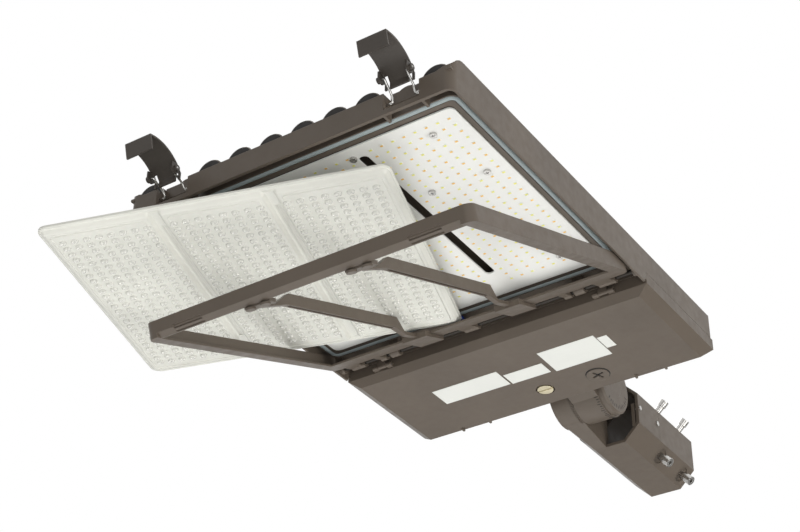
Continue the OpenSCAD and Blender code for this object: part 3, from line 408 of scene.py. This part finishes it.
def make_leds():
    """The white chips, with warm and cool phosphor by turns."""
    chips = bmesh.new()
    warm = bmesh.new()
    cool = bmesh.new()
    for column, x in enumerate(led_columns()):
        for row in range(LED_ROWS):
            y = LED_FRONT_Y + row * LED_PITCH_Y
            add_block(chips, (x - CHIP_HALF_X, y - CHIP_HALF_Y, BOARD_Z - CHIP_H),
                      (x + CHIP_HALF_X, y + CHIP_HALF_Y, BOARD_Z), at, CHIP_CHAMFER)
            phosphor = warm if (column + row) % 2 else cool
            add_block(phosphor, (x - PHOSPHOR_HALF_X, y - PHOSPHOR_HALF_Y, BOARD_Z - PHOSPHOR_H),
                      (x + PHOSPHOR_HALF_X, y + PHOSPHOR_HALF_Y, BOARD_Z - PHOSPHOR_FOOT),
                      at, PHOSPHOR_CHAMFER)
    finish_piece("led_chips", chips, "housing", "board_white", smooth=False)
    finish_piece("led_phosphor_warm", warm, "housing", "board_white", "phosphor_warm", False)
    finish_piece("led_phosphor_cool", cool, "housing", "board_white", "phosphor_cool", False)


make_leds()


# The gasket as a rounded bead, in the space of the plain one
GASKET_HALF_W = 2.6
GASKET_MIDDLE_R = 6.4
GASKET_STEPS = 12


def make_gasket():
    bead = bmesh.new()
    (x0, y0, z0), (x1, y1, z1) = node_box("gasket")
    middle = (x0 + GASKET_HALF_W, x1 - GASKET_HALF_W, y0 + GASKET_HALF_W, y1 - GASKET_HALF_W)
    crown = [(GASKET_HALF_W * math.cos(a), math.sin(a)) for a in half_circle(GASKET_STEPS)]
    sections = []
    for x, y, dx, dy in loop_points(*middle, GASKET_MIDDLE_R):
        sections.append([at(x + dx * u, y + dy * u, z1 - (z1 - z0) * h) for u, h in crown])
    add_grid(bead, list(zip(*sections)), closed=True)
    recalculate_normals(bead)
    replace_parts(finish_piece("gasket_bead", bead, "housing", "pale_rubber"), "gasket")


make_gasket()


# Painted shade: dark half-discs in the front ends of the ridges, standing in for their shaded hollows. The latches
# hide two of them.
RIDGES = 10
HIDDEN_RIDGES = (1, 8)
RIDGE_PITCH = 32.6
RIDGE_Z = 20.08
RIDGE_FACE_R = 12.6
RIDGE_FACE_Y = (4.98, 4.8)
RIDGE_FACE_STEPS = 24


def make_ridge_end_painted_shade():
    shades = bmesh.new()
    for i in range(RIDGES):
        if i in HIDDEN_RIDGES:
            continue
        x = (i - (RIDGES - 1) / 2) * RIDGE_PITCH
        rim = [(x + RIDGE_FACE_R * math.cos(a), RIDGE_Z + RIDGE_FACE_R * math.sin(a))
               for a in half_circle(RIDGE_FACE_STEPS)]
        faces = [[at(rim_x, y, rim_z) for rim_x, rim_z in rim] for y in RIDGE_FACE_Y]
        add_grid(shades, faces, closed=True, cap=True)
    recalculate_normals(shades)
    # The discs are painted shade, in the near-black ridge_shade colour.
    finish_piece("ridge_end_painted_shade", shades, "housing", "dark_bronze_paint", "ridge_shade", False)


make_ridge_end_painted_shade()


# The cross in the plug's recess, and the seal round the plug, both on the level of the cover's face
COVER_Z = node_box("driver_cover")[0][2]
PLUG_LOW, PLUG_HIGH = node_box("access_plug")
PLUG_X = (PLUG_LOW[0] + PLUG_HIGH[0]) / 2
PLUG_Y = (PLUG_LOW[1] + PLUG_HIGH[1]) / 2
PLUG_TURN = math.radians(70)
CROSS_HALF_L = 6.9
CROSS_HALF_W = 1.2
CROSS_H = 0.1
CROSS_CHAMFER = 0.05
SEAL_INNER_R = 11.3
SEAL_FACE_R = 11.9
SEAL_OUTER_R = 12.2
SEAL_H = 0.5
SEAL_SIDES = 48


def on_plug(x, y, z):
    """A place in the plug's own turned frame, in the row frame."""
    c, s = math.cos(PLUG_TURN), math.sin(PLUG_TURN)
    return at(PLUG_X + c * x - s * y, PLUG_Y + s * x + c * y, z)


def make_plug_details():
    cross = bmesh.new()
    for x, y in ((CROSS_HALF_L, CROSS_HALF_W), (CROSS_HALF_W, CROSS_HALF_L)):
        add_block(cross, (-x, -y, COVER_Z - CROSS_H), (x, y, COVER_Z), on_plug, CROSS_CHAMFER)
    finish_piece("plug_cross", cross, "driver_cover", "black_rubber", smooth=False)
    seal = bmesh.new()
    section = ((SEAL_INNER_R, COVER_Z), (SEAL_INNER_R, COVER_Z - SEAL_H),
               (SEAL_FACE_R, COVER_Z - SEAL_H), (SEAL_OUTER_R, COVER_Z))
    rings = [[at(PLUG_X + r * math.cos(a), PLUG_Y + r * math.sin(a), z)
              for a in circle(SEAL_SIDES)] for r, z in section]
    add_grid(seal, rings, closed=True)
    recalculate_normals(seal)
    finish_piece("plug_seal", seal, "driver_cover", "black_rubber")


make_plug_details()


# The lens lies loose. Its own frame has the middle of its plate's lower face at the origin.
LENS_AT = Vector((-108.2, 114.8, -15.9))
LENS_ANGLES = (3.5, -2.1, 19.0)
LENS_TURN = Euler([math.radians(angle) for angle in LENS_ANGLES], "XYZ").to_matrix()
# The middle of the lens's seat in the closed door, which sets the lenslets over the chips
SEAT_Y = 154.0
PANEL_DROP = 3.5
LENSLET_HALF_X = 3.5
LENSLET_HALF_Y = 2.6
LENSLET_H = 3.3
LENSLET_FALL = 0.4
LENSLET_DIP = 0.5
LENSLET_LOBES = 3.0
LENSLET_RING_SHARES = (1.0, 0.96, 0.82, 0.6, 0.3)
LENSLET_SIDES = 14


def on_lens(x, y, z):
    """A place in the lens's own frame, in mm, in the row frame."""
    return at(*(LENS_AT + LENS_TURN @ Vector((x, y, z))))


def lenslet_height(u, v):
    """Height of a two-lobed lenslet at u, v, each from -1 to 1."""
    dome = (1.0 - min(1.0, u * u + v * v)) ** LENSLET_FALL
    return LENSLET_H * dome * (1.0 - LENSLET_DIP * math.exp(-(u * LENSLET_LOBES) ** 2))


def add_lenslet(bm, x, y):
    rings = []
    for share in LENSLET_RING_SHARES:
        around = [(share * math.cos(a), share * math.sin(a)) for a in circle(LENSLET_SIDES)]
        rings.append([on_lens(x + LENSLET_HALF_X * u, y + LENSLET_HALF_Y * v,
                              -PANEL_DROP - lenslet_height(u, v)) for u, v in around])
    last = add_grid(bm, rings, closed=True)[-1]
    top = bm.verts.new(on_lens(x, y, -PANEL_DROP - lenslet_height(0.0, 0.0)))
    for vertex, following in zip(last, last[1:] + last[:1]):
        bm.faces.new((vertex, following, top))


def make_lenslets():
    lenslets = bmesh.new()
    for x in led_columns():
        for row in range(LED_ROWS):
            add_lenslet(lenslets, x, LED_FRONT_Y + row * LED_PITCH_Y - SEAT_Y)
    finish_piece("lens_lenslets", lenslets, "lens", "frosted_lens", "clear_lens")


make_lenslets()


# Raised beads of the lens: at its rim, at the step inside the rim, and round each panel
BEAD_SIDES = 8
RIM_BEAD = {"half_y": 135.8, "corner_r": 9.3, "z": 0.3, "radius": 1.0}
RIM_BEAD_X = (-152.8, 152.8)
STEP_BEAD = {"half_y": 130.5, "corner_r": 5.0, "z": -0.1, "radius": 0.55}
STEP_BEAD_X = (-149.5, 149.5)
PANEL_BEAD = {"half_y": 124.5, "corner_r": 3.0, "z": -3.6, "radius": 0.45}
PANEL_BEADS_X = ((-145, -60), (-40, 40), (60, 145))


def bead_loop(bm, x0, x1, half_y, corner_r, z, radius):
    """A raised bead round a rectangle with round corners, on the lens."""
    path = [on_lens(x, y, z) for x, y, _, _ in loop_points(x0, x1, -half_y, half_y, corner_r)]
    add_tube(bm, path + path[:1], radius, BEAD_SIDES)


def make_lens_beads():
    beads = bmesh.new()
    bead_loop(beads, *RIM_BEAD_X, **RIM_BEAD)
    bead_loop(beads, *STEP_BEAD_X, **STEP_BEAD)
    for ends in PANEL_BEADS_X:
        bead_loop(beads, *ends, **PANEL_BEAD)
    finish_piece("lens_beads", beads, "lens", "frosted_lens")


make_lens_beads()


# Soft skirts that fall from the lens's plate to its panels, and the faces of its two grooves
PANELS_X = ((-148, -56.8), (-43.8, 43.8), (56.8, 148))
PANEL_HALF_Y = 128
OUTER_X = 100
SKIRT_GAP = 0.15
SKIRT_SUNK = 0.03
SKIRT_OUTER_W = 5.0
SKIRT_INNER_W = 3.2
SKIRT_END_W = 6.0
SKIRT_TOP_R = 0.5
SKIRT_R_GROWTH = 6.0
SKIRT_STEPS = 6
GROOVE_X = 50.3
GROOVE_SUNK = 0.02
GROOVE_PROFILE = ((-3.3, 0.0), (-2.2, 0.1), (-1.4, 0.5), (-0.8, 1.6),
                  (0.8, 1.6), (1.4, 0.5), (2.2, 0.1), (3.3, 0.0))
GROOVE_Y = (-110.5, -60, 0, 60, 94.5)


def skirt_width(x):
    """How far a skirt spreads at a panel's edge: more on the lens's outside than at a groove."""
    return SKIRT_OUTER_W if abs(x) > OUTER_X else SKIRT_INNER_W


def skirt_ring(x0, x1, t):
    """A skirt's ring of points at t, from 0 at the panel to 1 at the plate."""
    z = -SKIRT_SUNK - PANEL_DROP * (1 - t * t * (3 - 2 * t))
    low_x = x0 - SKIRT_GAP - skirt_width(x0) * t
    high_x = x1 + SKIRT_GAP + skirt_width(x1) * t
    half_y = PANEL_HALF_Y + SKIRT_GAP + SKIRT_END_W * t
    corner_r = SKIRT_TOP_R + SKIRT_R_GROWTH * t
    return [on_lens(x, y, z) for x, y, _, _ in loop_points(low_x, high_x, -half_y, half_y, corner_r)]


def make_lens_skirts():
    skirts = bmesh.new()
    for x0, x1 in PANELS_X:
        rings = [skirt_ring(x0, x1, k / SKIRT_STEPS) for k in range(SKIRT_STEPS + 1)]
        add_grid(skirts, rings, closed=True)
    for side in (-1, 1):
        add_grid(skirts, [[on_lens(side * GROOVE_X + x, y, z - GROOVE_SUNK)
                           for x, z in GROOVE_PROFILE] for y in GROOVE_Y])
    recalculate_normals(skirts)
    finish_piece("lens_skirts", skirts, "lens", "frosted_lens")


make_lens_skirts()


# Wire bails, bent as in the photo. Each runs from its own pivot to the pivot of its lever.
BAIL_WIRE_R = 1.05
BAIL_WIRE_SIDES = 12
BAIL_ARM_STEPS = 12
BAIL_ARM_X = 10.6
PIVOT_END_X = 19.0
PIVOT_ELBOW_X = 13.0
PIVOT_BEND_X = 11.2
PIVOT_BEND_L = 0.3
LEVER_BEND_X = 11.0
LEVER_BEND_L = 0.2
LEVER_ELBOW_X = 12.2
LEVER_END_X = 16.6
SECOND_BEND_SHARE = 0.35


def wire_bail(side, bend):
    """One bent wire: the pivot rod, two bowed arms and the rod that carries the lever."""
    start = Vector(joint_place(f"bail_{side}"))
    back = Vector(joint_place(f"lever_{side}")) - start
    reach = back.length
    back.normalize()
    lift = Vector((0.0, back.z, -back.y))

    def place(x, along, off=0.0):
        return at(*(start + Vector((x, 0, 0)) + back * along + lift * off))

    def bow(t):
        return bend * math.sin(math.pi * t) + SECOND_BEND_SHARE * bend * math.sin(2 * math.pi * t)

    bm = bmesh.new()
    for s in (-1, 1):
        path = [place(s * PIVOT_END_X, 0), place(s * PIVOT_ELBOW_X, 0),
                place(s * PIVOT_BEND_X, PIVOT_BEND_L)]
        for k in range(1, BAIL_ARM_STEPS):
            t = k / BAIL_ARM_STEPS
            path.append(place(s * BAIL_ARM_X, reach * t, bow(t)))
        path += [place(s * LEVER_BEND_X, reach - LEVER_BEND_L), place(s * LEVER_ELBOW_X, reach),
                 place(s * LEVER_END_X, reach)]
        add_tube(bm, path, BAIL_WIRE_R, BAIL_WIRE_SIDES)
    node = f"latch_bail_{side}"
    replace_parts(finish_piece(f"bail_wire_{side}", bm, node, "bright_steel"), node)


wire_bail("left", bend=1.5)
wire_bail("right", bend=1.9)


# Scale ticks of the tilt joint, round the barrel's rim and on its flat end. Their dark colour is painted shade of
# the raised ticks.
TILT_X, TILT_Y, TILT_Z = joint_place("tilt")
TICK_HALF_W = 0.35
TICK_RISE = 0.35
TICK_FOOT = 0.2
TICK_CHAMFER = 0.1
RIM_TICKS = 9
RIM_TICK_STEP = 5
RIM_TICK_MIDDLE = -90
RIM_TICK_X = 25.0
RIM_TICK_IN = 0.6
RIM_TICK_R = 32.7
RIM_LONG_EVERY = 3
RIM_LONG_L = 4.5
RIM_SHORT_L = 3.0
FACE_TICKS = 6
FACE_TICK_STEP = 9
FACE_TICK_MIDDLE = -68
FACE_TICK_R = 26.6
FACE_TICK_HALF_W = 0.45
FACE_TICK_RISE = 0.12
FACE_TICK_FOOT = 0.05
FACE_TICK_CHAMFER = 0.05
FACE_LONG_EVERY = 2
FACE_LONG_L = 4.2
FACE_SHORT_L = 2.8
BARREL_END_X = node_box("pivot_cap")[1][0]


def around_tilt(degrees):
    """Directions along a circle round the tilt axis, and away from that axis, at an angle."""
    a = math.radians(degrees)
    return Vector((0, -math.sin(a), math.cos(a))), Vector((0, math.cos(a), math.sin(a)))


def add_rim_tick(bm, k):
    tangent, radial = around_tilt(RIM_TICK_MIDDLE + RIM_TICK_STEP * k)
    start = Vector((TILT_X + RIM_TICK_X, TILT_Y, TILT_Z))
    length = RIM_LONG_L if k % RIM_LONG_EVERY == 0 else RIM_SHORT_L

    def place(x, y, z):
        return at(*(start - Vector((x, 0, 0)) + tangent * y + radial * (RIM_TICK_R - z)))

    add_block(bm, (RIM_TICK_IN, -TICK_HALF_W, -TICK_RISE),
              (RIM_TICK_IN + length, TICK_HALF_W, TICK_FOOT), place, TICK_CHAMFER)


def add_face_tick(bm, k):
    tangent, radial = around_tilt(FACE_TICK_MIDDLE + FACE_TICK_STEP * k)
    length = FACE_LONG_L if k % FACE_LONG_EVERY == 0 else FACE_SHORT_L

    def place(x, y, z):
        return at(*(Vector((BARREL_END_X - z, TILT_Y, TILT_Z)) + tangent * y + radial * x))

    add_block(bm, (FACE_TICK_R - length, -FACE_TICK_HALF_W, -FACE_TICK_RISE),
              (FACE_TICK_R, FACE_TICK_HALF_W, FACE_TICK_FOOT), place, FACE_TICK_CHAMFER)


def make_tilt_scale():
    ticks = bmesh.new()
    for k in range(-RIM_TICKS, RIM_TICKS + 1):
        add_rim_tick(ticks, k)
    for k in range(-FACE_TICKS, FACE_TICKS + 1):
        add_face_tick(ticks, k)
    # Painted shade: the ticks take the near-black ridge_shade colour.
    finish_piece("tilt_scale", ticks, "housing", "dark_bronze_paint", "ridge_shade", False)


make_tilt_scale()


# Teeth of the tilt joint, on the slip fitter's side
TOOTH_STEP = 5
TOOTH_ROOT_X = -4.9
TOOTH_TIP_X = -8.2
TOOTH_RADII = (32.2, 33.3)


def make_tilt_teeth():
    teeth = bmesh.new()
    for start in range(0, 360, TOOTH_STEP):
        profile = ((start, TOOTH_ROOT_X), (start + TOOTH_STEP / 2, TOOTH_TIP_X),
                   (start + TOOTH_STEP, TOOTH_ROOT_X))
        rows = []
        for degrees, x in profile:
            a = math.radians(degrees)
            rows.append([at(x, TILT_Y + r * math.cos(a), TILT_Z + r * math.sin(a))
                         for r in TOOTH_RADII])
        add_grid(teeth, rows)
    finish_piece("tilt_teeth", teeth, "slip_fitter", "bronze_paint", smooth=False)


make_tilt_teeth()


# Light and floor, in metres in the row frame
WHITE = (1.0, 1.0, 1.0)
WARM_WHITE = (1.0, 0.985, 0.95)
SKY_WHITE = (1.0, 0.985, 0.96)
FLOOR_Z = -1.35
FLOOR_HALF = 7.0
FLOOR_SEGMENTS = 8
# The world is brightest in this direction
BRIGHT_SIDE = Vector((0.62, 0.1, -0.78))
DIMMEST = 0.14
BRIGHTEST = 1.45
DIM_FROM = -0.35
BRIGHT_FROM = 0.85


def area_light(name, place, target, size, power, colour=WHITE):
    data = bpy.data.lights.new(name, "AREA")
    data.shape = "SQUARE"
    data.size = size
    data.energy = power
    data.color = colour
    light = bpy.data.objects.new(name, data)
    bpy.context.scene.collection.objects.link(light)
    light.location = place
    light.rotation_euler = (Vector(target) - Vector(place)).to_track_quat("-Z", "Y").to_euler()


def add_floor():
    bm = bmesh.new()
    bmesh.ops.create_grid(bm, x_segments=FLOOR_SEGMENTS, y_segments=FLOOR_SEGMENTS, size=FLOOR_HALF)
    mesh = bpy.data.meshes.new("floor")
    bm.to_mesh(mesh)
    bm.free()
    mesh.materials.append(MATERIALS["floor_paint"])
    floor = bpy.data.objects.new("floor", mesh)
    floor.location = (0.0, 0.0, FLOOR_Z)
    bpy.context.scene.collection.objects.link(floor)


def studio_light(tree):
    """The world as it lights the object: dim on one side and bright on the other."""
    studio = tree.nodes["Background"]
    directions = tree.nodes.new("ShaderNodeTexCoord")
    towards = tree.nodes.new("ShaderNodeVectorMath")
    towards.operation = "DOT_PRODUCT"
    towards.inputs[1].default_value = BRIGHT_SIDE.normalized()
    tree.links.new(directions.outputs["Generated"], towards.inputs[0])
    level = remap(tree, towards.outputs["Value"], DIMMEST, BRIGHTEST, DIM_FROM, BRIGHT_FROM)
    tree.links.new(level, studio.inputs["Strength"])
    studio.inputs["Color"].default_value = (*SKY_WHITE, 1.0)
    return studio


def white_background(tree):
    white = tree.nodes.new("ShaderNodeBackground")
    white.inputs["Color"].default_value = (*WHITE, 1.0)
    white.inputs["Strength"].default_value = 1.0
    return white


def add_world():
    """White to the camera and in what metal and glass show, and studio light otherwise."""
    world = bpy.data.worlds.new("studio")
    world.use_nodes = True
    bpy.context.scene.world = world
    tree = world.node_tree
    rays = tree.nodes.new("ShaderNodeLightPath")
    seen = rays.outputs["Is Camera Ray"]
    for kind in ("Is Glossy Ray", "Is Transmission Ray"):
        either = tree.nodes.new("ShaderNodeMath")
        either.operation = "MAXIMUM"
        tree.links.new(seen, either.inputs[0])
        tree.links.new(rays.outputs[kind], either.inputs[1])
        seen = either.outputs[0]
    both = tree.nodes.new("ShaderNodeMixShader")
    tree.links.new(seen, both.inputs[0])
    tree.links.new(studio_light(tree).outputs[0], both.inputs[1])
    tree.links.new(white_background(tree).outputs[0], both.inputs[2])
    tree.links.new(both.outputs[0], tree.nodes["World Output"].inputs["Surface"])


area_light("key", place=(1.9, -0.1, -1.3), target=(0.0, -0.4, 0.0), size=1.0, power=33.0,
           colour=WARM_WHITE)
area_light("under", place=(-0.3, -0.3, -1.25), target=(-0.05, -0.45, 0.0), size=2.2, power=18.0)
area_light("front", place=(0.72, -1.62, -0.88), target=(0.0, -0.45, 0.0), size=0.9, power=8.0)
area_light("top", place=(-0.8, 0.4, 1.9), target=(0.0, -0.4, 0.0), size=1.6, power=30.0)
add_floor()
add_world()
bpy.context.scene.view_settings.view_transform = "Standard"
